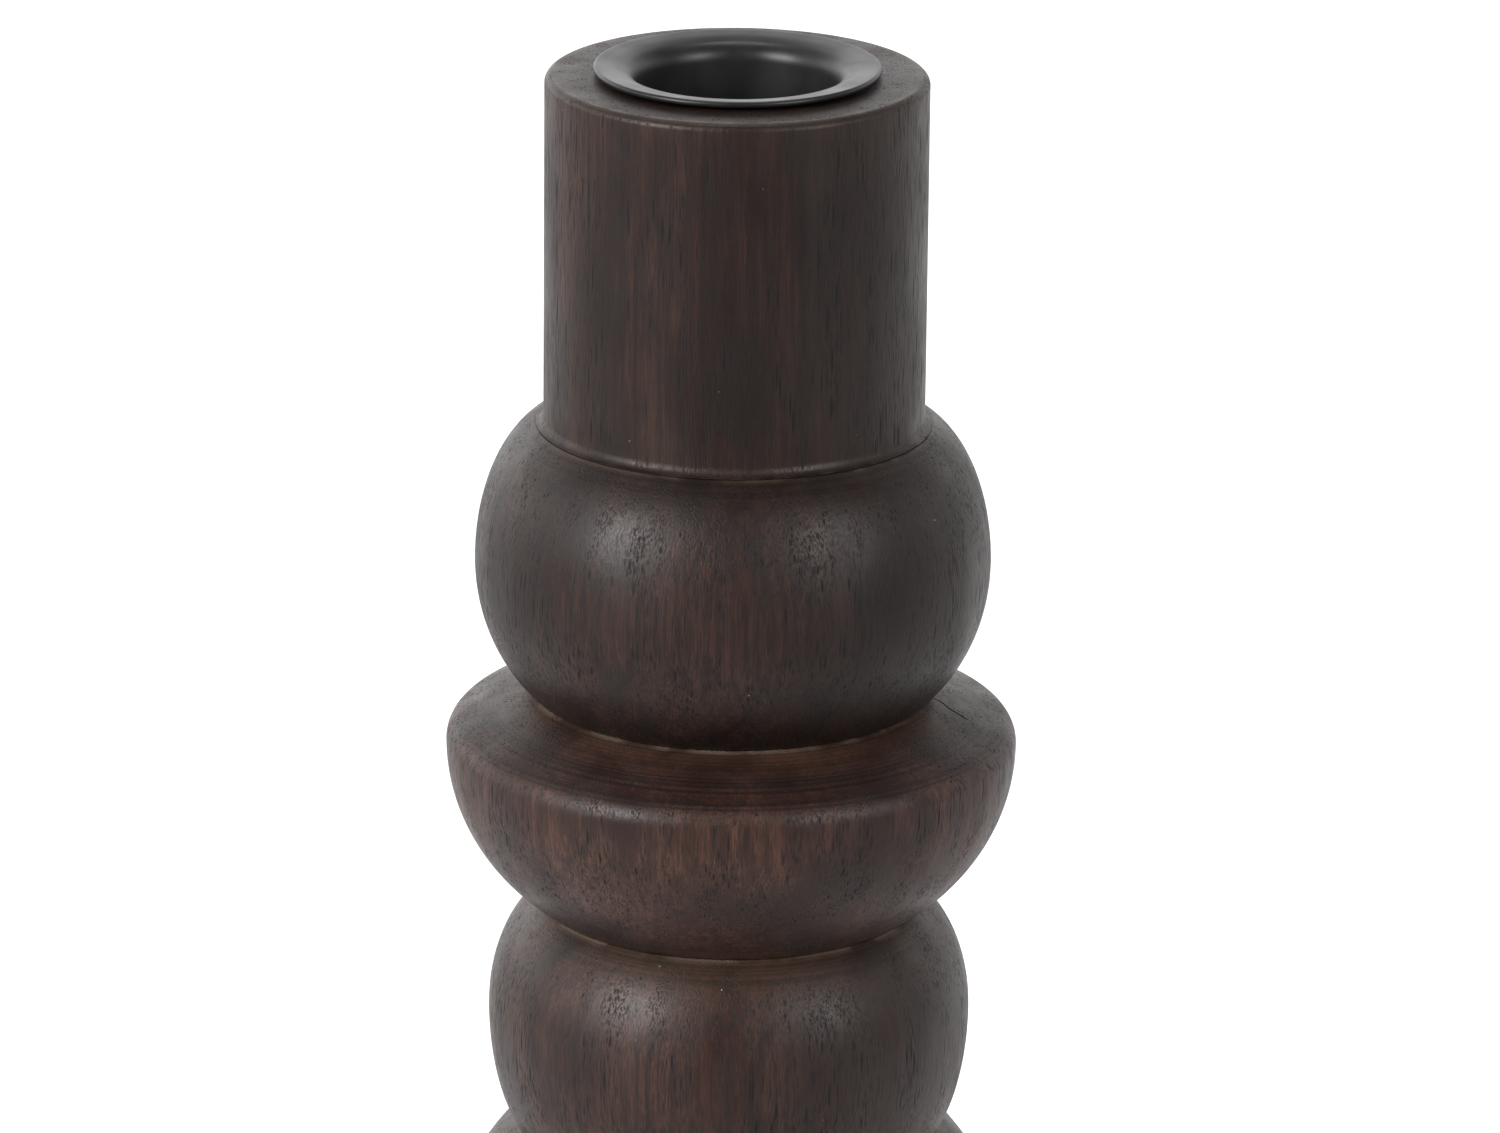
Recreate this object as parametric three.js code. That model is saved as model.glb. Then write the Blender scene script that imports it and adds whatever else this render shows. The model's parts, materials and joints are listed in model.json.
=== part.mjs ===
/**
 * Turned wooden candlestick.
 *
 * Six turned sections stand one on another, each seam glued and held by a hidden dowel. A loose metal
 * cup for the candle hangs by its lip in a bore in the top section, and a felt pad is stuck under the
 * base. Millimetres, +Z up. It stands on z = 0, and every piece is centred on the Z axis.
 */
import * as THREE from "three";

// Turned sections from the top down. A section's height is its wood between two seams, its radius is at
// its belly (its widest place), and the belly's height is above its own underside. The turns are how
// far the outline has leant over, from upright at the belly, where it reaches the seam, in degrees.
const COLUMN_HEIGHT = 39.6;
const COLUMN_RADIUS = 21.2;
const UPPER_BEAD = { height: 31.0, radius: 28.8, belly: 15.1, upperTurn: 73, lowerTurn: 53 };
const SAUCER = { height: 24.7, radius: 32.0, belly: 18.6, lowerTurn: 55 };
const MIDDLE_BEAD = { height: 26.8, radius: 27.2, belly: 13.9, upperTurn: 68, lowerTurn: 60 };
const LARGE_BEAD = { height: 37.0, radius: 32.2, belly: 18.7, upperTurn: 42, lowerTurn: 50 };
const BASE = { height: 38.8, radius: 43.0, belly: 10.0, upperTurn: 62, lowerTurn: 35 };
const BASE_UNDERCUT = 2.2; // how far the base draws in from its belly to its underside
const GLUE_LINE = 0.1;

// Radius that the two sections meeting at a seam share.
const UPPER_BEAD_SAUCER_SEAM = 22.4;
const SAUCER_MIDDLE_BEAD_SEAM = 21.5;
const MIDDLE_LARGE_BEAD_SEAM = 24.0;
const LARGE_BEAD_BASE_SEAM = 25.5;

// Small shapes on the sections.
const COLUMN_EDGE_ROUND = 0.9; // rounded rim of the column's top
const COLUMN_FOOT_HEIGHT = 1.2; // small cove where the column spreads on to the bead
const COLUMN_FOOT_SPREAD = 0.9;
const UPPER_BEAD_LEDGE = 0.15; // sliver of the bead's flat top that shows outside the column's foot
const SAUCER_SHOULDER_ROUND = 3.15; // round between the saucer's sloping top and its bowl

// Candle cup, pressed from sheet, for a common taper candle 22 mm across.
const CANDLE_RADIUS = 11.0;
const CANDLE_CLEARANCE = 0.1;
const CUP_WALL = 0.7;
const CUP_DEPTH = 22.0; // from the top of the wood down to the cup's inner floor
const CUP_CORNER_ROUND = 2.5; // outer round between the cup's wall and its floor
const LIP_WIDTH = 4.05; // how far the lip stands out from the cup's wall
const LIP_SLOPE = THREE.MathUtils.degToRad(9); // the lip rises outwards
const LIP_BEND_ROUND = 1.5; // inner round of the bend between wall and lip
const LIP_SEAT_GAP = 0.05;
const BORE_CLEARANCE = 0.25;
const BORE_END_GAP = 1.3; // air under the cup

// Dowels, each half in the section above its seam and half in the one below.
const DOWEL_RADIUS = 5.0;
const DOWEL_DEPTH = 9.0;
const DOWEL_CHAMFER = 0.8;
const DOWEL_CLEARANCE = 0.1;
const DOWEL_END_GAP = 0.3;
const WOOD_UNDER_BORE = 5.6; // solid wood left between the cup's bore and the top dowel's hole

// Felt pad under the base.
const FELT_THICKNESS = 1.5;
const FELT_INSET = 3.8; // from the edge of the base's underside

// How finely round stretches are divided.
const TURNS = 36; // facets round the axis
const DOWEL_TURNS = 18;
const BELLY_STEPS = 6;
const ROUND_STEPS = 4;

const point = (radius, height) => new THREE.Vector2(radius, height);

/** Points round part of a circle, both ends included. Angles are in radians from the +radius side. */
function arc(centre, radius, from, to) {
  return Array.from({ length: ROUND_STEPS + 1 }, (_, i) => {
    const angle = from + ((to - from) * i) / ROUND_STEPS;
    return point(centre.x + radius * Math.cos(angle), centre.y + radius * Math.sin(angle));
  });
}

/** Round stretch, part of an ellipse, from a section's belly to the edge of a seam above or below it. */
function roundTo(seam, turnDegrees, section) {
  const turn = THREE.MathUtils.degToRad(turnDegrees);
  const across = (section.radius - seam.x) / (1 - Math.cos(turn));
  const along = (seam.y - section.belly) / Math.sin(turn);
  return Array.from({ length: BELLY_STEPS + 1 }, (_, i) => {
    const angle = (turn * i) / BELLY_STEPS;
    const inward = across * (1 - Math.cos(angle));
    return point(section.radius - inward, section.belly + along * Math.sin(angle));
  });
}

/** Outline of a bead, or of any round section, from its underside over its belly to its top. */
function beadOutline(section, lowerRadius, upperRadius) {
  const below = roundTo(point(lowerRadius, 0), section.lowerTurn, section).reverse();
  const above = roundTo(point(upperRadius, section.height), section.upperTurn, section);
  return [...below, ...above.slice(1)];
}

/** Outline of the top column: a small cove at the foot, a straight side and a rounded rim. */
function columnOutline() {
  const foot = new THREE.EllipseCurve(
    columnFootRadius,
    COLUMN_FOOT_HEIGHT,
    COLUMN_FOOT_SPREAD,
    COLUMN_FOOT_HEIGHT,
    1.5 * Math.PI,
    Math.PI,
    true,
  );
  const rimCentre = point(COLUMN_RADIUS - COLUMN_EDGE_ROUND, COLUMN_HEIGHT - COLUMN_EDGE_ROUND);
  return [...foot.getPoints(ROUND_STEPS), ...arc(rimCentre, COLUMN_EDGE_ROUND, 0, Math.PI / 2)];
}

/** Outline of the saucer: a round bowl, a rounded shoulder, and a sloping top straight to the seam. */
function saucerOutline() {
  const seam = point(UPPER_BEAD_SAUCER_SEAM, SAUCER.height);
  const bowl = roundTo(point(SAUCER_MIDDLE_BEAD_SEAM, 0), SAUCER.lowerTurn, SAUCER).reverse();
  const centre = point(SAUCER.radius - SAUCER_SHOULDER_ROUND, SAUCER.belly);
  const towardSeam = seam.clone().sub(centre);
  const tangent = towardSeam.angle() - Math.acos(SAUCER_SHOULDER_ROUND / towardSeam.length());
  return [...bowl, ...arc(centre, SAUCER_SHOULDER_ROUND, 0, tangent).slice(1), seam];
}

const cupInnerRadius = CANDLE_RADIUS + CANDLE_CLEARANCE;
const cupOuterRadius = cupInnerRadius + CUP_WALL;
const boreRadius = cupOuterRadius + BORE_CLEARANCE;
const boreChamfer = LIP_BEND_ROUND - BORE_CLEARANCE; // room for the bend under the lip
const boreDepth = CUP_DEPTH + CUP_WALL + BORE_END_GAP;
const dowelHoleRadius = DOWEL_RADIUS + DOWEL_CLEARANCE;
const columnDowelDepth = COLUMN_HEIGHT - boreDepth - WOOD_UNDER_BORE - DOWEL_END_GAP;

const columnFootRadius = COLUMN_RADIUS + COLUMN_FOOT_SPREAD;

/** Turned sections from the table up, each with its outline and how deep its dowels go. */
const sections = [
  {
    name: "base",
    height: BASE.height,
    outline: beadOutline(BASE, BASE.radius - BASE_UNDERCUT, LARGE_BEAD_BASE_SEAM),
    dowelBelow: 0,
    dowelAbove: DOWEL_DEPTH,
  },
  {
    name: "large_bead",
    height: LARGE_BEAD.height,
    outline: beadOutline(LARGE_BEAD, LARGE_BEAD_BASE_SEAM, MIDDLE_LARGE_BEAD_SEAM),
    dowelBelow: DOWEL_DEPTH,
    dowelAbove: DOWEL_DEPTH,
  },
  {
    name: "middle_bead",
    height: MIDDLE_BEAD.height,
    outline: beadOutline(MIDDLE_BEAD, MIDDLE_LARGE_BEAD_SEAM, SAUCER_MIDDLE_BEAD_SEAM),
    dowelBelow: DOWEL_DEPTH,
    dowelAbove: DOWEL_DEPTH,
  },
  {
    name: "saucer",
    height: SAUCER.height,
    outline: saucerOutline(),
    dowelBelow: DOWEL_DEPTH,
    dowelAbove: DOWEL_DEPTH,
  },
  {
    name: "upper_bead",
    height: UPPER_BEAD.height,
    outline: beadOutline(UPPER_BEAD, UPPER_BEAD_SAUCER_SEAM, columnFootRadius + UPPER_BEAD_LEDGE),
    dowelBelow: DOWEL_DEPTH,
    dowelAbove: DOWEL_DEPTH,
  },
  {
    name: "top_column",
    height: COLUMN_HEIGHT,
    outline: columnOutline(),
    dowelBelow: columnDowelDepth,
    dowelAbove: 0,
  },
];

/** Closing stretch of a section's underside: from the axis, round any dowel hole, out to the edge. */
function undersideOf(section) {
  if (section.dowelBelow === 0) return [point(0, 0)];
  const depth = section.dowelBelow + DOWEL_END_GAP;
  return [point(0, depth), point(dowelHoleRadius, depth), point(dowelHoleRadius, 0)];
}

/** Closing stretch of a section's top: from the edge, down any dowel hole or the cup's bore, to the axis. */
function topOf(section) {
  if (section.dowelAbove > 0) {
    const floor = section.height - section.dowelAbove - DOWEL_END_GAP;
    return [point(dowelHoleRadius, section.height), point(dowelHoleRadius, floor), point(0, floor)];
  }
  const floor = section.height - boreDepth;
  return [
    point(boreRadius + boreChamfer, section.height),
    point(boreRadius, section.height - boreChamfer),
    point(boreRadius, floor),
    point(0, floor),
  ];
}

/** Profile of the cup in its own frame, with the top of the wood at height 0. */
function cupProfile() {
  const outerFloor = -CUP_DEPTH - CUP_WALL;
  const corner = point(cupOuterRadius - CUP_CORNER_ROUND, outerFloor + CUP_CORNER_ROUND);
  const bend = point(cupOuterRadius + LIP_BEND_ROUND, LIP_SEAT_GAP - LIP_BEND_ROUND);
  const rollRound = LIP_BEND_ROUND + CUP_WALL;
  const edgeRound = CUP_WALL / 2;
  const edgeReach = LIP_BEND_ROUND + edgeRound;
  const lipUp = Math.PI / 2 + LIP_SLOPE;
  const edgeX = cupOuterRadius + LIP_WIDTH - edgeRound;
  const lipRun = (edgeX - bend.x - edgeReach * Math.cos(lipUp)) / Math.cos(LIP_SLOPE);
  const edge = point(edgeX, bend.y + lipRun * Math.sin(LIP_SLOPE) + edgeReach * Math.sin(lipUp));
  return [
    point(0, outerFloor),
    ...arc(corner, CUP_CORNER_ROUND, -Math.PI / 2, 0),
    ...arc(bend, LIP_BEND_ROUND, Math.PI, lipUp),
    ...arc(edge, edgeRound, lipUp - Math.PI, lipUp),
    ...arc(bend, rollRound, lipUp, Math.PI),
    ...arc(corner, CUP_CORNER_ROUND - CUP_WALL, 0, -Math.PI / 2),
    point(0, -CUP_DEPTH),
  ];
}

/** Profile of a dowel that goes `below` and `above` a seam centred on height 0. */
function dowelProfile(below, above) {
  const bottom = -GLUE_LINE / 2 - below;
  const top = GLUE_LINE / 2 + above;
  return [
    point(0, bottom),
    point(DOWEL_RADIUS - DOWEL_CHAMFER, bottom),
    point(DOWEL_RADIUS, bottom + DOWEL_CHAMFER),
    point(DOWEL_RADIUS, top - DOWEL_CHAMFER),
    point(DOWEL_RADIUS - DOWEL_CHAMFER, top),
    point(0, top),
  ];
}

/** Profile of the felt pad. */
function feltProfile() {
  const radius = BASE.radius - BASE_UNDERCUT - FELT_INSET;
  return [point(0, 0), point(radius, 0), point(radius, FELT_THICKNESS), point(0, FELT_THICKNESS)];
}

const stainedWood = () => new THREE.MeshStandardMaterial({ color: 0x3a2a25, roughness: 0.5, metalness: 0 });
const blackMetal = () => new THREE.MeshStandardMaterial({ color: 0x151515, roughness: 0.4, metalness: 0.6 });
const paleWood = () => new THREE.MeshStandardMaterial({ color: 0xb98f5e, roughness: 0.7, metalness: 0 });
const blackFelt = () => new THREE.MeshStandardMaterial({ color: 0x1c1b1a, roughness: 0.95, metalness: 0 });

/** A named piece turned from its profile, standing with the profile's height 0 at `height`. */
function turned(name, profile, material, height, turns = TURNS) {
  const geometry = new THREE.LatheGeometry(profile, turns).rotateX(Math.PI / 2);
  const mesh = new THREE.Mesh(geometry, material);
  mesh.name = name;
  mesh.position.z = height;
  return mesh;
}

const candlestick = new THREE.Group();
candlestick.add(turned("felt_pad", feltProfile(), blackFelt(), 0));

let height = FELT_THICKNESS + GLUE_LINE;
sections.forEach((section, i) => {
  const profile = [...undersideOf(section), ...section.outline, ...topOf(section)];
  candlestick.add(turned(section.name, profile, stainedWood(), height));
  height += section.height;
  const above = sections[i + 1];
  if (!above) return;
  const dowel = dowelProfile(section.dowelAbove, above.dowelBelow);
  const name = `dowel_${section.name}_to_${above.name}`;
  candlestick.add(turned(name, dowel, paleWood(), height + GLUE_LINE / 2, DOWEL_TURNS));
  height += GLUE_LINE;
});
candlestick.add(turned("candle_cup", cupProfile(), blackMetal(), height));

export default candlestick;
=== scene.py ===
"""Looks of the turned wooden candlestick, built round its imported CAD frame. Metres, +Z up."""
import json
import math

import bpy
import numpy as np
from mathutils import Matrix, Vector

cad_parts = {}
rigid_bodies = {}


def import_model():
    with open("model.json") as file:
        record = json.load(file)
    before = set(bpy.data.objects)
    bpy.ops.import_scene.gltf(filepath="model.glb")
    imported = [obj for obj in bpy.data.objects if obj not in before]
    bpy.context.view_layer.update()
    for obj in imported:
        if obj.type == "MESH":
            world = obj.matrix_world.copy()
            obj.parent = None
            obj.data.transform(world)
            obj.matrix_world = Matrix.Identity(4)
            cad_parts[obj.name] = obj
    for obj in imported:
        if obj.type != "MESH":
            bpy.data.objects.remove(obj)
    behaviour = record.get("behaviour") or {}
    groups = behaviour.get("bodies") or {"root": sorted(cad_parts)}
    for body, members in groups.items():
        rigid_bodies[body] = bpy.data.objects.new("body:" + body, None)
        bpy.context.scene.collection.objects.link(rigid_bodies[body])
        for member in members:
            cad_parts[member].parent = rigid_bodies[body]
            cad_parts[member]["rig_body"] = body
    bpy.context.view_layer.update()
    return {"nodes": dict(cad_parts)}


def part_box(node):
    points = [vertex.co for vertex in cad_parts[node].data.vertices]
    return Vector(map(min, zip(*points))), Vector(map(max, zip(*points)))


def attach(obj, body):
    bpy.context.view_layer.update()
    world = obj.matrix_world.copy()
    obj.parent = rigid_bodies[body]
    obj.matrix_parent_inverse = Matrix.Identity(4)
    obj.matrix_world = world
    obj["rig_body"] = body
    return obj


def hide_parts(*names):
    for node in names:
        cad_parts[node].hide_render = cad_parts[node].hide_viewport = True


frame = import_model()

MM = 0.001
wood_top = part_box("top_column")[1].z

# ---------------------------------------------------------------------------------------------
# Camera
# ---------------------------------------------------------------------------------------------

CAMERA_DISTANCE = 946.3 * MM  # level, from the candlestick's axis
CAMERA_RISE = 252.4 * MM  # above the top of the wood
CAMERA_PITCH = math.radians(18.09)  # looking down
CAMERA_YAW = math.radians(-0.116)
CAMERA_ROLL = math.radians(0.58)
LENS = 214.0  # focal length, in the millimetres of the sensor's width
SENSOR = 36.0
CLIP_START, CLIP_END = 0.01, 50.0


def make_camera():
    """Camera in front of the candlestick, a little above it."""
    data = bpy.data.cameras.new("camera")
    data.lens = LENS
    data.sensor_width = SENSOR
    data.clip_start = CLIP_START
    data.clip_end = CLIP_END
    camera = bpy.data.objects.new("camera", data)
    bpy.context.scene.collection.objects.link(camera)
    turn = (
        Matrix.Rotation(CAMERA_YAW, 4, "Z")
        @ Matrix.Rotation(math.pi / 2 - CAMERA_PITCH, 4, "X")
        @ Matrix.Rotation(CAMERA_ROLL, 4, "Z")
    )
    camera.matrix_world = Matrix.Translation((0, -CAMERA_DISTANCE, wood_top + CAMERA_RISE)) @ turn
    bpy.context.scene.camera = camera


# ---------------------------------------------------------------------------------------------
# Studio: pale floor, soft lights, and surroundings that are bright behind and dim in front
# ---------------------------------------------------------------------------------------------

LIGHT_TARGET = Vector((0, 0, 0.13))
DIM, WHITE = 0.01, 1.5  # strength of the surroundings in front and behind
LEFT, RIGHT = 1.8, 1.0  # how much of that there is on either side
LOW, OVERHEAD = 1.0, 0.1  # and how much from low down and from overhead
BACKDROP = 0.9  # strength of the plain backdrop seen past the floor's edge
FLOOR_HALF = 4.0
FLOOR_WHITE = (0.9, 0.9, 0.9, 1)


def softbox(name, azimuth, elevation, distance, width, height, power, spread, target=LIGHT_TARGET):
    """Rectangular light facing its target. Azimuth 0 is in front (-Y) and 90 on the right (+X).

    Angles are in degrees, lengths in metres and power in watts.
    """
    data = bpy.data.lights.new(name, "AREA")
    data.shape = "RECTANGLE"
    data.size = width
    data.size_y = height
    data.energy = power
    data.spread = math.radians(spread)
    light = bpy.data.objects.new(name, data)
    bpy.context.scene.collection.objects.link(light)
    a, e = math.radians(azimuth), math.radians(elevation)
    away = Vector((math.sin(a) * math.cos(e), -math.cos(a) * math.cos(e), math.sin(e)))
    light.location = target + away * distance
    light.rotation_mode = "QUATERNION"
    light.rotation_quaternion = away.to_track_quat("Z", "Y")
    light.visible_camera = False


def make_lights():
    """A soft light on either side in front, and one over the floor behind."""
    softbox("left_softbox", -52, 24, distance=1.0, width=0.45, height=0.7, power=1.45, spread=40)
    softbox("right_softbox", 46, 24, distance=1.1, width=0.4, height=0.6, power=0.65, spread=40)
    behind = Vector((0, 0.75, 0))
    softbox("back_light", 180, 88, distance=1.4, width=2.0, height=1.2, power=9, spread=50, target=behind)


def make_world():
    """Surroundings: a white sweep low down behind the candlestick, dim overhead and in front."""
    world = bpy.data.worlds.new("studio")
    bpy.context.scene.world = world
    world.use_nodes = True
    nodes, links = world.node_tree.nodes, world.node_tree.links

    direction = nodes.new("ShaderNodeSeparateXYZ")
    links.new(nodes.new("ShaderNodeTexCoord").outputs["Generated"], direction.inputs[0])

    def fade(axis, start, end, at_start, at_end):
        """A share that goes from one value to another as the direction turns along an axis."""
        node = nodes.new("ShaderNodeMapRange")
        node.interpolation_type = "SMOOTHSTEP"
        for socket, value in zip(node.inputs[1:5], (start, end, at_start, at_end)):
            socket.default_value = value
        links.new(direction.outputs[axis], node.inputs["Value"])
        return node.outputs["Result"]

    strength = fade("Y", -0.5, 0.5, DIM, WHITE)
    for share in (fade("X", -0.6, 0.6, LEFT, RIGHT), fade("Z", 0.36, 0.62, LOW, OVERHEAD)):
        product = nodes.new("ShaderNodeMath")
        product.operation = "MULTIPLY"
        links.new(strength, product.inputs[0])
        links.new(share, product.inputs[1])
        strength = product.outputs[0]
    backdrop = nodes.new("ShaderNodeMix")
    links.new(nodes.new("ShaderNodeLightPath").outputs["Is Camera Ray"], backdrop.inputs[0])
    links.new(strength, backdrop.inputs[2])
    backdrop.inputs[3].default_value = BACKDROP
    background = nodes["Background"]
    background.inputs["Color"].default_value = (1, 1, 1, 1)
    links.new(backdrop.outputs[0], background.inputs["Strength"])


def make_floor():
    """Wide pale floor that the candlestick stands on."""
    half = FLOOR_HALF
    mesh = bpy.data.meshes.new("floor")
    corners = [(-half, -half, 0), (half, -half, 0), (half, half, 0), (-half, half, 0)]
    mesh.from_pydata(corners, [], [(0, 1, 2, 3)])
    floor = bpy.data.objects.new("floor", mesh)
    bpy.context.scene.collection.objects.link(floor)
    material = bpy.data.materials.new("pale_floor")
    material.use_nodes = True
    shader = material.node_tree.nodes["Principled BSDF"]
    shader.inputs["Base Color"].default_value = FLOOR_WHITE
    shader.inputs["Roughness"].default_value = 0.9
    shader.inputs["Specular IOR Level"].default_value = 0.1
    mesh.materials.append(material)


# ---------------------------------------------------------------------------------------------
# Turned shapes
# ---------------------------------------------------------------------------------------------

TINY = 1e-6
STRAIGHT = 8.0  # a stretch this many times longer than the next one is straight
UNEVEN = 2.0  # stretches that differ this much in length belong to different rounds
MOST_TURN = math.radians(5)  # between two points of a refined round stretch
NEAR_CORNER = (0.4 * MM, 0.8 * MM)  # extra points this far from an eased corner
EASE_POINTS = 5
AROUND = 192  # columns in a turned mesh


def outline_of(node):
    """Section of a turned CAD node: (radius, height) points from the axis below to the axis above."""
    mesh = frame["nodes"][node].data
    spots = [None] * len(mesh.vertices)
    for v in mesh.vertices:
        if abs(v.co.y) < TINY and v.co.x > -TINY:
            spots[v.index] = (max(0.0, round(v.co.x, 6)), round(v.co.z, 6))
    beside = {}
    for edge in mesh.edges:
        a, b = (spots[i] for i in edge.vertices)
        if a and b and a != b:
            beside.setdefault(a, set()).add(b)
            beside.setdefault(b, set()).add(a)
    path = [min((p for p in beside if p[0] < TINY), key=lambda p: p[1])]
    while True:
        onward = [p for p in beside[path[-1]] if p not in path]
        if not onward:
            return np.array(path)
        path.append(onward[0])


def angle_between(a, b):
    """Angle between two unit vectors."""
    return math.acos(max(-1.0, min(1.0, float(np.dot(a, b)))))


def mirrored(direction, chord):
    """Direction at one end of a round stretch, from the direction at its other end."""
    return 2 * np.dot(direction, chord) * chord - direction


def heading_at(i, points, unit, length):
    """Direction of a smooth outline at one of its inner points. It is upright where a bead is widest."""
    before, after = unit[i - 1], unit[i]
    ratio = length[i - 1] / length[i]
    if max(ratio, 1 / ratio) > UNEVEN and points[i, 0] > max(points[i - 1, 0], points[i + 1, 0]):
        return np.array([0.0, 1.0])
    if ratio > STRAIGHT:
        return before
    if ratio < 1 / STRAIGHT:
        return after
    mixed = before * length[i] + after * length[i - 1]
    return mixed / np.linalg.norm(mixed)


def eased(corner, before, after, width):
    """Small rounding in place of a sharp corner."""
    start, end = corner - before * width, corner + after * width
    steps = np.linspace(0, 1, EASE_POINTS)
    return [(1 - t) ** 2 * start + 2 * t * (1 - t) * corner + t**2 * end for t in steps]


def curved(t, start, end, length, leave, arrive):
    """Point of the smooth curve between two points that leaves and arrives in given directions."""
    return (
        (2 * t**3 - 3 * t**2 + 1) * start
        + (t**3 - 2 * t**2 + t) * length * leave
        + (3 * t**2 - 2 * t**3) * end
        + (t**3 - t**2) * length * arrive
    )


def refined(points, step, sharp, ease):
    """The outline with its round stretches drawn out finely and its sharp corners eased.

    A corner that turns more than sharp degrees stays a corner, with a rounding of the ease's width.
    """
    chord = np.diff(points, axis=0)
    length = np.linalg.norm(chord, axis=1)
    unit = chord / length[:, None]
    count = len(points)
    heading = [None] * count
    for i in range(1, count - 1):
        if angle_between(unit[i - 1], unit[i]) < math.radians(sharp):
            heading[i] = heading_at(i, points, unit, length)
    out = [points[0]]
    arriving = None
    for i in range(count - 1):
        leave, arrive = heading[i], heading[i + 1]
        if leave is None:
            leave = unit[i] if arrive is None else mirrored(arrive, unit[i])
        if arrive is None:
            arrive = mirrored(leave, unit[i])
        pieces = max(1, math.ceil(length[i] / step), math.ceil(angle_between(leave, arrive) / MOST_TURN))
        at = set(np.linspace(0, 1, pieces + 1)[:-1]) | {0.0}
        first, last = 0.0, 1.0
        if i > 0 and heading[i] is None:
            width = min(ease, length[i - 1] / 3, length[i] / 3)
            out.extend(eased(points[i], arriving, leave, width))
            first = width / length[i]
            at |= {d / length[i] for d in NEAR_CORNER}
        if i < count - 2 and heading[i + 1] is None:
            last = 1 - min(ease, length[i] / 3, length[i + 1] / 3) / length[i]
            at |= {1 - d / length[i] for d in NEAR_CORNER}
        for t in sorted(at):
            inside = first < t < last if i and heading[i] is None else first <= t < last
            if inside and (i or t):
                out.append(curved(t, points[i], points[i + 1], length[i], leave, arrive))
        arriving = arrive
    out.append(points[-1])
    return np.clip(out, points.min(0), points.max(0))


def turned_mesh(name, profile, angles=None, lean=None):
    """Closed mesh of a profile turned about the Z axis. Its first and last points are on the axis.

    The angles of its columns are even unless given, and lean gives each radius a shift of them.
    """
    if angles is None:
        angles = np.arange(AROUND) * 2 * math.pi / AROUND
    around = len(angles)
    rings = profile[1:-1]
    turned = angles[None] + (lean(rings[:, :1]) if lean else 0)
    side = np.empty((len(rings), around, 3))
    side[:, :, 0] = rings[:, :1] * np.cos(turned)
    side[:, :, 1] = rings[:, :1] * np.sin(turned)
    side[:, :, 2] = rings[:, 1:]
    vertices = [(0, 0, profile[0, 1]), *side.reshape(-1, 3).tolist(), (0, 0, profile[-1, 1])]
    last = len(vertices) - 1
    faces = []
    for k in range(around):
        onward = (k + 1) % around
        faces.append((0, 1 + onward, 1 + k))
        for j in range(len(rings) - 1):
            row, above = 1 + j * around, 1 + (j + 1) * around
            faces.append((row + k, row + onward, above + onward, above + k))
        top = 1 + (len(rings) - 1) * around
        faces.append((last, top + k, top + onward))
    mesh = bpy.data.meshes.new(name)
    mesh.from_pydata(vertices, [], faces)
    mesh.update()
    mesh.shade_smooth()
    return mesh


def add_piece(name, mesh, node, material):
    """Links a piece, rides it on its CAD node's body and lets it stand for that node."""
    piece = bpy.data.objects.new(name, mesh)
    bpy.context.scene.collection.objects.link(piece)
    mesh.materials.append(material)
    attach(piece, frame["nodes"][node]["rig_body"])
    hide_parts(node)


# Drying crack in the saucer's top, from near the seam outwards: (radius, azimuth in degrees).
# Azimuths are seen from above: 0 in front (-Y), 90 on the right (+X).
CRACK = ((22.6 * MM, 81.9), (24.1 * MM, 80.4), (24.7 * MM, 78.8), (27.0 * MM, 77.6))
CRACK_HALF_WIDTH = 0.15 * MM
CRACK_DEPTH = 0.4 * MM
CRACK_TAPER = 1 * MM  # length of its shallow ends
CRACK_BESIDE = math.radians(1)  # how far the mesh is fine on either side of it
CRACK_FINE_STEP = math.radians(0.125)


def azimuth_angle(degrees):
    """Angle from +X, in radians, of an azimuth in degrees."""
    return math.radians(degrees - 90)


def crack_angle(radius):
    """Angle from +X of the crack at a radius."""
    radii = [place for place, _ in CRACK]
    return np.interp(radius, radii, [azimuth_angle(azimuth) for _, azimuth in CRACK])


def crack_columns():
    """Angles of a mesh's columns from the crack, close together beside it."""
    fine = np.arange(-CRACK_BESIDE, CRACK_BESIDE, CRACK_FINE_STEP)
    coarse = CRACK_BESIDE + np.arange(AROUND) * (2 * math.pi - 2 * CRACK_BESIDE) / AROUND
    return np.concatenate([fine, coarse])


def cut_crack(mesh, above):
    """Sinks a narrow groove along the crack into the part of a mesh's surface above a height."""
    start, end = CRACK[0][0], CRACK[-1][0]
    sunk = np.zeros(len(mesh.vertices), np.float32)
    for v in mesh.vertices:
        radius = math.hypot(v.co.x, v.co.y)
        if v.co.z < above or not start < radius < end:
            continue
        aside = abs(math.atan2(v.co.y, v.co.x) - crack_angle(radius)) * radius
        ends = min(1.0, (radius - start) / CRACK_TAPER, (end - radius) / CRACK_TAPER)
        sunk[v.index] = ends * max(0.0, 1 - aside / CRACK_HALF_WIDTH)
        v.co.z -= CRACK_DEPTH * float(sunk[v.index])
    mesh.attributes.new("crack", "FLOAT", "POINT").data.foreach_set("value", sunk)
    mesh.update()


WEAR_AND_HIGHLIGHT_REACH = 0.25 * MM  # how fast the pale line of wear and painted highlight fades away from a rim
TINT_REACH = 2.5 * MM  # how fast the thinner stain does


def end_rims(points):
    """Rims of a section's two flat ends, where wear and a painted highlight are drawn and the stain is
    thinner.
    """
    rims = []
    for level in (points[:, 1].min(), points[:, 1].max()):
        face = points[np.abs(points[:, 1] - level) < TINY]
        rims.append(face[face[:, 0].argmax()])
    return np.array(rims)


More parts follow.
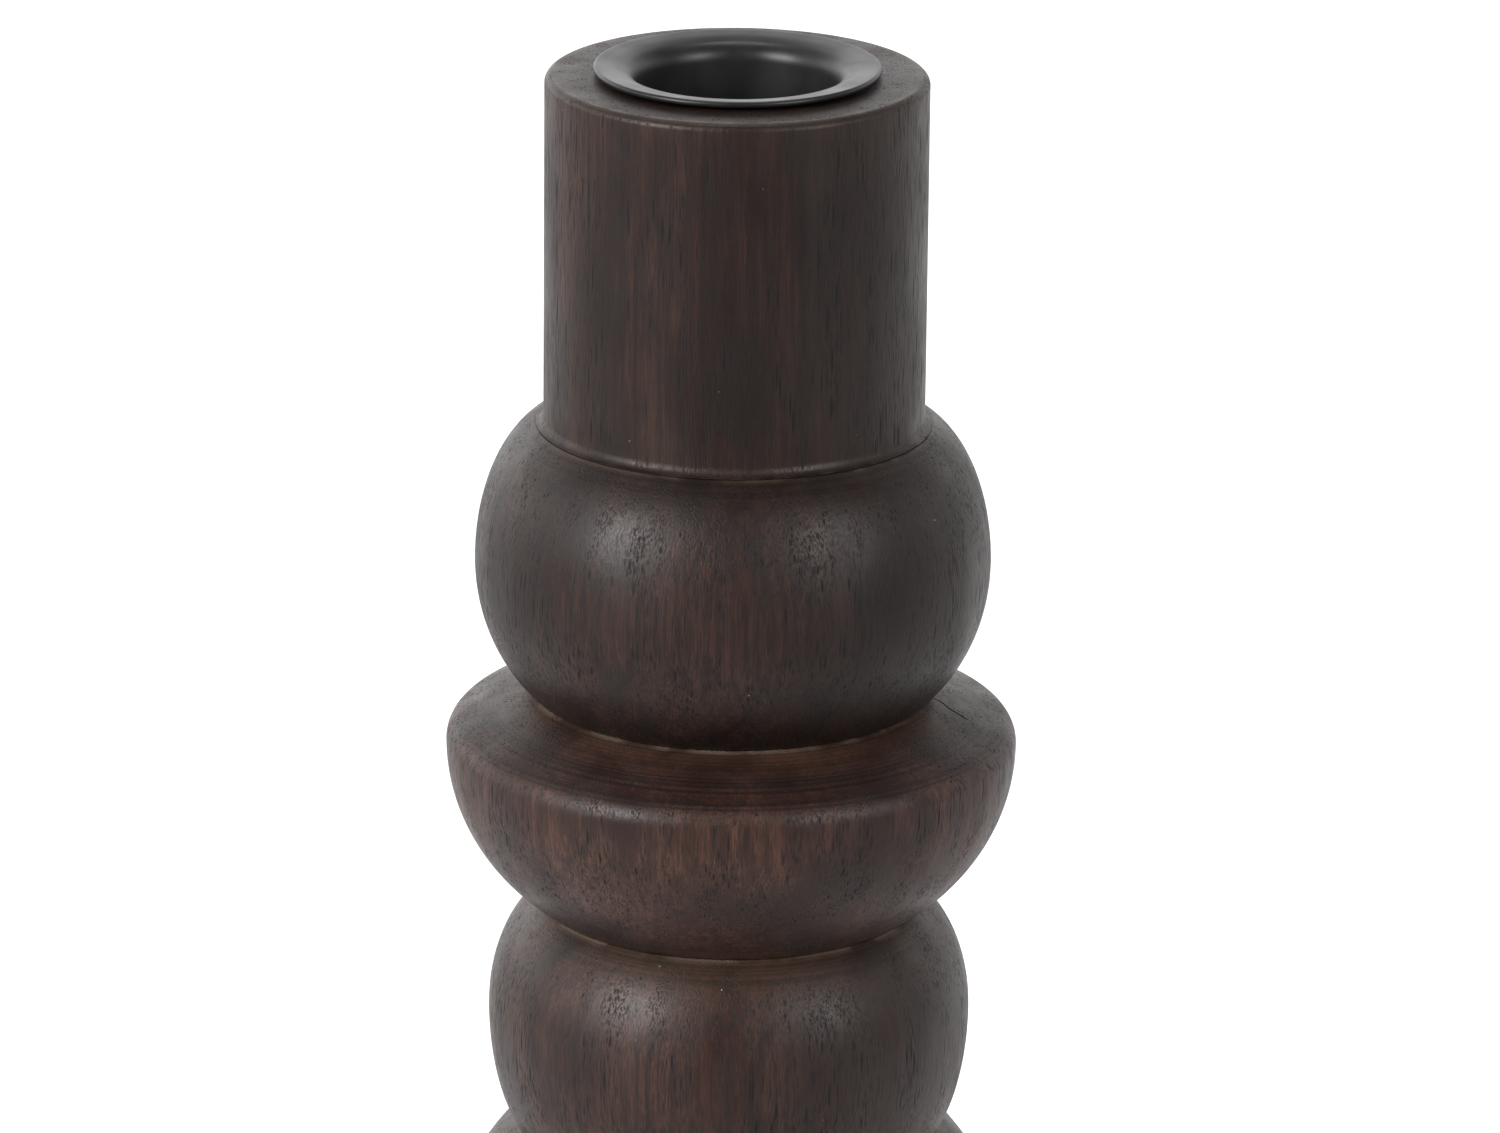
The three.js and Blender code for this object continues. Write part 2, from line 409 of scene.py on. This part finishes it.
def add_wear_and_highlight(mesh, places):
    """Writes how near each point of a mesh is to the rims, for wear with a painted highlight and for tint.
    """
    co = np.array([v.co for v in mesh.vertices])
    section = np.stack([np.hypot(co[:, 0], co[:, 1]), co[:, 2]], 1)
    apart = np.linalg.norm(section[:, None] - places[None], axis=2).min(1)
    # The first is wear with a painted highlight along the rims, the second the thinner stain.
    for name, reach in (("edge_wear_and_highlight", WEAR_AND_HIGHLIGHT_REACH), ("edge_tint", TINT_REACH)):
        values = np.exp(-apart / reach).astype(np.float32)
        mesh.attributes.new(name, "FLOAT", "POINT").data.foreach_set("value", values)


# ---------------------------------------------------------------------------------------------
# Materials
# ---------------------------------------------------------------------------------------------

# Colours of the stained wood.
BROWN = (0.0480, 0.0205, 0.0135)
DARK_BROWN = (0.0125, 0.0050, 0.0036)
RED_BROWN = (0.0500, 0.0170, 0.0100)
NEUTRAL_DARK = (0.0150, 0.0088, 0.0075)
GOLDEN = (0.0560, 0.0300, 0.0170)
PORE = (0.0015, 0.0010, 0.0009, 1)
# Pale colour at the rims: wear through the stain, and a painted highlight.
WORN_AND_HIGHLIGHT = (0.160, 0.115, 0.088, 1)
DUST = (0.30, 0.28, 0.25, 1)

# Sizes of the wood's patterns: two across the grain and one along it.
CLOUDS = (7 * MM, 7 * MM, 16 * MM)
BANDS = (3.2 * MM, 3.2 * MM, 90 * MM)
STREAKS = (0.8 * MM, 0.8 * MM, 22 * MM)
FIBRES = (0.22 * MM, 0.22 * MM, 5 * MM)
BIG_PORES = (0.5 * MM, 0.5 * MM, 5.6 * MM)
SMALL_PORES = (0.32 * MM, 0.32 * MM, 3.2 * MM)
FINE_PORES = (0.17 * MM, 0.17 * MM, 2.4 * MM)
PORE_CROWDS = (2.6 * MM, 2.6 * MM, 18 * MM)
RING_WARP = (8 * MM, 8 * MM, 50 * MM)
RING_WARP_DEPTH = 1.6 * MM
WEAR_PATCHES = (4 * MM, 4 * MM, 4 * MM)
SMEARS = (6 * MM, 6 * MM, 12 * MM)
RIPPLES = (5 * MM, 5 * MM, 9 * MM)
TOOL_MARK = 0.35 * MM
DARK_SIDE_START, DARK_SIDE_END = 12 * MM, 34 * MM  # from the axis, towards the dark side
DARK_SIDE_BLUR = 16 * MM
DUST_SPACING = (3.5 * MM, 3.5 * MM, 3.5 * MM)


class Shading:
    """A material's node tree, with short ways to add and join its nodes."""

    def __init__(self, name):
        self.material = bpy.data.materials.new(name)
        self.material.use_nodes = True
        self.nodes = self.material.node_tree.nodes
        self.links = self.material.node_tree.links
        self.shader = self.nodes["Principled BSDF"]

    def add(self, kind, inputs=(), **settings):
        """Adds a node. Inputs are values or other nodes' outputs, by socket name or number."""
        node = self.nodes.new(kind)
        for key, value in settings.items():
            setattr(node, key, value)
        for key, value in dict(inputs).items():
            self.put(node.inputs[key], value)
        return node

    def put(self, socket, value):
        """Gives a socket a value, or links another node's output to it."""
        if isinstance(value, bpy.types.NodeSocket):
            self.links.new(value, socket)
        else:
            socket.default_value = value

    def math(self, operation, a, b=0.0, clamp=False):
        """One step of arithmetic on two values or outputs."""
        node = self.add("ShaderNodeMath", {0: a, 1: b}, operation=operation)
        node.use_clamp = clamp
        return node.outputs[0]

    def times(self, a, b):
        return self.math("MULTIPLY", a, b)

    def span(self, value, low, high, to_low=0.0, to_high=1.0):
        """Maps a value smoothly from one range to another, held at the ends."""
        inputs = {"Value": value, "From Min": low, "From Max": high, "To Min": to_low, "To Max": to_high}
        return self.add("ShaderNodeMapRange", inputs, interpolation_type="SMOOTHSTEP").outputs["Result"]

    def mix(self, amount, a, b):
        """Colour that goes from a to b as the amount goes from 0 to 1."""
        node = self.add("ShaderNodeMix", data_type="RGBA")
        colours = [s for s in node.inputs if s.type == "RGBA"]
        self.put(node.inputs[0], amount)
        self.put(colours[0], a)
        self.put(colours[1], b)
        return [s for s in node.outputs if s.type == "RGBA"][0]

    def place(self, cells, offset=(0, 0, 0), turn=(0, 0, 0)):
        """Object coordinates in units of cell sizes, so that a fine pattern can be drawn out along Z."""
        where = self.add("ShaderNodeTexCoord").outputs["Object"]
        shift = self.add("ShaderNodeVectorMath", {0: where, 1: offset}, operation="ADD").outputs[0]
        scale = tuple(1 / c for c in cells)
        return self.add("ShaderNodeMapping", {"Vector": shift, "Rotation": turn, "Scale": scale}).outputs[0]

    def noise(self, where, detail=2.0, roughness=0.5, scale=1.0):
        """Smooth random value, mostly between 0.3 and 0.7."""
        inputs = {"Vector": where, "Scale": scale, "Detail": detail, "Roughness": roughness}
        return self.add("ShaderNodeTexNoise", inputs).outputs["Fac"]

    def cells(self, where):
        return self.add("ShaderNodeTexVoronoi", {"Vector": where, "Scale": 1.0}, feature="F1")

    def lottery(self, cells):
        """A random number from 0 to 1 for each cell."""
        return self.add("ShaderNodeSeparateColor", {0: cells.outputs["Color"]}).outputs[0]

    def attribute(self, name):
        return self.add("ShaderNodeAttribute", attribute_name=name).outputs["Fac"]

    def distance(self, x, y, centre=(0.0, 0.0)):
        """Level distance from an upright line."""
        across = self.math("POWER", self.math("SUBTRACT", x, centre[0]), 2.0)
        along = self.math("POWER", self.math("SUBTRACT", y, centre[1]), 2.0)
        return self.math("SQRT", self.math("ADD", across, along))

    def bump(self, height, strength, distance, normal=None):
        inputs = {"Height": height, "Strength": strength, "Distance": distance}
        if normal is not None:
            inputs["Normal"] = normal
        return self.add("ShaderNodeBump", inputs).outputs["Normal"]


def pores(shade, cell, offset, width, present):
    """Slender spindles along the grain, present in a share of their cells. 1 inside."""
    grain = shade.cells(shade.place(cell, offset))
    spindle = shade.span(grain.outputs["Distance"], width, width * 0.4)
    return shade.times(spindle, shade.span(shade.lottery(grain), present, present - 0.08))


def open_grain(shade, offset):
    """Open pores of three sizes, which crowd together in places. 1 inside."""
    big = pores(shade, BIG_PORES, offset, 0.42, 0.55)
    small = pores(shade, SMALL_PORES, offset[::-1], 0.42, 0.65)
    fine = shade.span(shade.noise(shade.place(FINE_PORES, offset), detail=1), 0.5, 0.62)
    most = shade.math("MAXIMUM", big, shade.times(small, 0.8))
    most = shade.math("MAXIMUM", most, shade.times(fine, 0.55))
    crowd = shade.span(shade.noise(shade.place(PORE_CROWDS, offset)), 0.38, 0.6, 0.35, 1.0)
    return shade.times(most, crowd)


def late_wood(shade, x, y, offset, pith, rings):
    """Narrow line at the end of each growth ring round the pith. 1 on the line."""
    warp = shade.math("SUBTRACT", shade.noise(shade.place(RING_WARP, offset)), 0.5)
    radius = shade.math("ADD", shade.distance(x, y, pith), shade.times(warp, RING_WARP_DEPTH))
    return shade.span(shade.math("PINGPONG", shade.math("DIVIDE", radius, rings), 0.5), 0.07, 0.0)


def dark_side(shade, x, y, clouds, dark_from):
    """Side of the block that is drawn darker and greyer, with a cloudy border. 1 well inside."""
    side = azimuth_angle(dark_from)
    towards = shade.math("ADD", shade.times(x, math.cos(side)), shade.times(y, math.sin(side)))
    towards = shade.math("ADD", towards, shade.times(clouds, DARK_SIDE_BLUR))
    return shade.span(towards, DARK_SIDE_START, DARK_SIDE_END)


def tool_marks(shade, x, y, z):
    """Fine level lines round the piece."""
    section = shade.add("ShaderNodeCombineXYZ", {0: shade.distance(x, y), 2: z}).outputs[0]
    return shade.noise(section, scale=1 / TOOL_MARK)


def dust(shade, offset):
    """A few specks of pale dust. 1 on a speck."""
    spots = shade.cells(shade.place(DUST_SPACING, offset))
    speck = shade.span(spots.outputs["Distance"], 0.03, 0.015)
    return shade.times(speck, shade.span(shade.lottery(spots), 0.7, 0.3, 0.0, 0.9))


def stained_wood(name, seed, pith, rings, red, lightness, dark_from, rim_wear_and_highlight):
    """Dark stained, open-pored wood turned with its grain upright, satin from a thin finish.

    The pith and the spacing of the growth rings are in metres. dark_from is the azimuth of the side
    that is drawn darkest and most neutral. red is the share of red bands; the last argument is the share
    of the rims' wear and of the painted highlight drawn with it, and also sets how thin the stain is by the
    seams.
    """
    shade = Shading(name)
    offset = tuple(float(v) for v in np.random.default_rng(seed).uniform(-1, 1, 3))
    x, y, z = shade.add("ShaderNodeSeparateXYZ", {0: shade.place((1, 1, 1))}).outputs

    def tinted(colour):
        return [v * lightness for v in colour] + [1]

    # Broad tones of the block.
    clouds = shade.noise(shade.place(CLOUDS, offset), detail=4)
    bands = shade.noise(shade.place(BANDS, offset), detail=3)
    darkest = shade.times(dark_side(shade, x, y, clouds, dark_from), 0.75)
    colour = shade.mix(shade.span(clouds, 0.35, 0.65), tinted(DARK_BROWN), tinted(BROWN))
    colour = shade.mix(shade.times(shade.span(bands, 0.48, 0.66), red), colour, tinted(RED_BROWN))
    colour = shade.mix(darkest, colour, tinted(NEUTRAL_DARK))

    # Streaks, fibres, growth rings and pores.
    streaks = shade.noise(shade.place(STREAKS, offset), detail=3, roughness=0.6)
    fibres = shade.noise(shade.place(FIBRES, offset), detail=3, roughness=0.65)
    rings_end = late_wood(shade, x, y, offset, pith, rings)
    grain = open_grain(shade, offset)
    colour = shade.mix(shade.span(streaks, 0.42, 0.6, 0.0, 0.7), colour, tinted(DARK_BROWN))
    colour = shade.mix(shade.span(fibres, 0.38, 0.58, 0.6, 0.0), colour, tinted(DARK_BROWN))
    colour = shade.mix(shade.times(rings_end, 0.35), colour, PORE)
    colour = shade.mix(grain, colour, PORE)

    # The stain is thinner by the seams.
    tint = shade.times(shade.attribute("edge_tint"), shade.span(clouds, 0.35, 0.6, 0.2 * rim_wear_and_highlight, rim_wear_and_highlight))
    colour = shade.mix(tint, colour, tinted(GOLDEN))

    # End grain drinks more stain and shows the marks of the tool.
    normal = shade.add("ShaderNodeNewGeometry").outputs["Normal"]
    upright = shade.add("ShaderNodeSeparateXYZ", {0: normal}).outputs[2]
    end_grain = shade.span(shade.math("ABSOLUTE", upright), 0.5, 0.95)
    marks = tool_marks(shade, x, y, z)
    scored = shade.times(shade.span(marks, 0.35, 0.6, 0.6, 0.0), shade.span(end_grain, 0.0, 0.5, 0.15, 1.0))
    colour = shade.mix(shade.times(end_grain, 0.4), colour, tinted(DARK_BROWN))
    colour = shade.mix(scored, colour, PORE)

    # Paler wood at the rims, partly wear through the stain and partly a painted highlight, a few specks of
    # dust, and the dark of the crack.
    patches = shade.noise(shade.place(WEAR_PATCHES, offset), detail=5)
    rubbed_and_highlit = shade.times(shade.attribute("edge_wear_and_highlight"), shade.span(patches, 0.42, 0.6, 0.15 * rim_wear_and_highlight, rim_wear_and_highlight))
    colour = shade.mix(rubbed_and_highlit, colour, WORN_AND_HIGHLIGHT)
    colour = shade.mix(dust(shade, offset), colour, DUST)
    colour = shade.mix(shade.attribute("crack"), colour, PORE)
    shade.put(shade.shader.inputs["Base Color"], colour)

    # Satin where the finish lies, dull in the pores.
    smears = shade.noise(shade.place(SMEARS, offset), detail=3)
    gloss = shade.span(smears, 0.3, 0.7, 0.40, 0.50)
    rough = shade.math("ADD", gloss, shade.times(grain, 0.3), clamp=True)
    shade.put(shade.shader.inputs["Roughness"], rough)
    shade.shader.inputs["Specular IOR Level"].default_value = 0.3

    # Sunken pores, raised fibres, tool marks, and a slow ripple under them.
    relief = shade.math("SUBTRACT", shade.times(fibres, 0.3), grain)
    relief = shade.math("ADD", relief, shade.times(marks, 0.25))
    fine_relief = shade.bump(relief, 0.5, 0.05 * MM)
    ripples = shade.noise(shade.place(RIPPLES, offset))
    shade.put(shade.shader.inputs["Normal"], shade.bump(ripples, 0.35, 0.12 * MM, fine_relief))
    return shade.material


def black_metal():
    """Thin sheet metal with a black satin coating, faintly rippled, with a little dust."""
    shade = Shading("black_metal")
    cloud = shade.noise(shade.place((4 * MM, 4 * MM, 4 * MM)), detail=4)
    base = shade.mix(shade.span(cloud, 0.3, 0.7), (0.0095, 0.0095, 0.0095, 1), (0.013, 0.013, 0.0128, 1))
    base = shade.mix(dust(shade, (0.3, 0.1, 0.2)), base, DUST)
    shade.put(shade.shader.inputs["Base Color"], base)
    shade.put(shade.shader.inputs["Roughness"], shade.span(cloud, 0.3, 0.7, 0.36, 0.44))
    shade.shader.inputs["Specular IOR Level"].default_value = 0.33
    peel = shade.noise(shade.place((0.45 * MM, 0.45 * MM, 0.45 * MM)), detail=2)
    shade.put(shade.shader.inputs["Normal"], shade.bump(peel, 0.12, 0.02 * MM))
    return shade.material


def felt():
    """Pressed black wool."""
    shade = Shading("felt")
    clumps = shade.noise(shade.place((1.6 * MM, 1.6 * MM, 1.6 * MM)), detail=4, roughness=0.7)
    hairs = shade.noise(shade.place((0.18 * MM, 0.7 * MM, 0.3 * MM), turn=(0.4, 0.2, 0.9)), detail=3)
    colour = shade.mix(shade.span(clumps, 0.3, 0.7), (0.008, 0.008, 0.008, 1), (0.022, 0.021, 0.02, 1))
    colour = shade.mix(shade.span(hairs, 0.62, 0.72), colour, (0.05, 0.05, 0.048, 1))
    shade.put(shade.shader.inputs["Base Color"], colour)
    shade.shader.inputs["Roughness"].default_value = 0.95
    shade.shader.inputs["Sheen Weight"].default_value = 0.3
    shade.put(shade.shader.inputs["Normal"], shade.bump(hairs, 0.6, 0.15 * MM))
    return shade.material


def dowel_wood():
    """Unfinished pale wood with its short brown flecks."""
    shade = Shading("dowel_wood")
    streak = shade.noise(shade.place((0.5 * MM, 0.5 * MM, 9 * MM)), detail=3)
    flecks = pores(shade, (0.8 * MM, 0.8 * MM, 3 * MM), (0, 0, 0), 0.2, 0.5)
    colour = shade.mix(shade.span(streak, 0.3, 0.7), (0.42, 0.26, 0.13, 1), (0.56, 0.38, 0.21, 1))
    colour = shade.mix(shade.times(flecks, 0.6), colour, (0.25, 0.13, 0.06, 1))
    shade.put(shade.shader.inputs["Base Color"], colour)
    shade.shader.inputs["Roughness"].default_value = 0.7
    shade.put(shade.shader.inputs["Normal"], shade.bump(streak, 0.4, 0.05 * MM))
    return shade.material


# ---------------------------------------------------------------------------------------------
# Pieces
# ---------------------------------------------------------------------------------------------

# Each turned section is its own block of wood: what stained_wood is told about it.
# In each section, the share of wear also sets the strength of the painted highlight at its rims.
SECTIONS = {
    "top_column": {
        "seed": 11, "pith": (-0.030, 0.020), "rings": 6.1 * MM,
        "red": 0.7, "lightness": 0.85, "dark_from": 55, "rim_wear_and_highlight": 0.3,
    },
    "upper_bead": {
        "seed": 23, "pith": (0.034, 0.022), "rings": 7.3 * MM,
        "red": 0.3, "lightness": 0.75, "dark_from": 80, "rim_wear_and_highlight": 0.3,
    },
    "saucer": {
        "seed": 37, "pith": (0.0088, -0.0054), "rings": 5.5 * MM,
        "red": 0.1, "lightness": 1.5, "dark_from": 130, "rim_wear_and_highlight": 0.75,
    },
    "middle_bead": {
        "seed": 41, "pith": (-0.026, 0.018), "rings": 6.7 * MM,
        "red": 0.5, "lightness": 1.1, "dark_from": 70, "rim_wear_and_highlight": 0.9,
    },
    "large_bead": {
        "seed": 59, "pith": (0.030, -0.012), "rings": 7.0 * MM,
        "red": 0.5, "lightness": 1.0, "dark_from": 100, "rim_wear_and_highlight": 0.6,
    },
    "base": {
        "seed": 67, "pith": (-0.012, 0.034), "rings": 6.4 * MM,
        "red": 0.5, "lightness": 1.0, "dark_from": 200, "rim_wear_and_highlight": 0.6,
    },
}

# How each kind of outline is refined: longest step, sharp corners in degrees, width of their easing.
WOOD_OUTLINE = {"step": 0.9 * MM, "sharp": 25, "ease": 0.15 * MM}
METAL_OUTLINE = {"step": 0.6 * MM, "sharp": 60, "ease": 0.1 * MM}
FELT_OUTLINE = {"step": 2 * MM, "sharp": 25, "ease": 0.4 * MM}


def make_section(node, **look):
    """One turned section of the wood. The saucer has a drying crack."""
    outline = outline_of(node)
    profile = refined(outline, **WOOD_OUTLINE)
    name = f"turned_{node}"
    if node == "saucer":
        mesh = turned_mesh(name, profile, angles=crack_columns(), lean=crack_angle)
        add_wear_and_highlight(mesh, end_rims(outline))
        widest = profile[profile[:, 0].argmax()]
        cut_crack(mesh, above=widest[1])
    else:
        mesh = turned_mesh(name, profile)
        add_wear_and_highlight(mesh, end_rims(outline))
    add_piece(name, mesh, node, stained_wood(f"wood_{node}", **look))


def make_cup():
    profile = refined(outline_of("candle_cup"), **METAL_OUTLINE)
    add_piece("pressed_cup", turned_mesh("pressed_cup", profile), "candle_cup", black_metal())


def make_felt():
    profile = refined(outline_of("felt_pad"), **FELT_OUTLINE)
    add_piece("felt_disc", turned_mesh("felt_disc", profile), "felt_pad", felt())


def finish_dowels():
    """The dowels are hidden in the seams, so their CAD solids stay and only take their wood."""
    material = dowel_wood()
    for name, node in frame["nodes"].items():
        if name.startswith("dowel_"):
            node.data.materials.clear()
            node.data.materials.append(material)


bpy.context.scene.view_settings.view_transform = "Standard"
make_camera()
make_world()
make_floor()
make_lights()
for node, look in SECTIONS.items():
    make_section(node, **look)
make_cup()
make_felt()
finish_dowels()
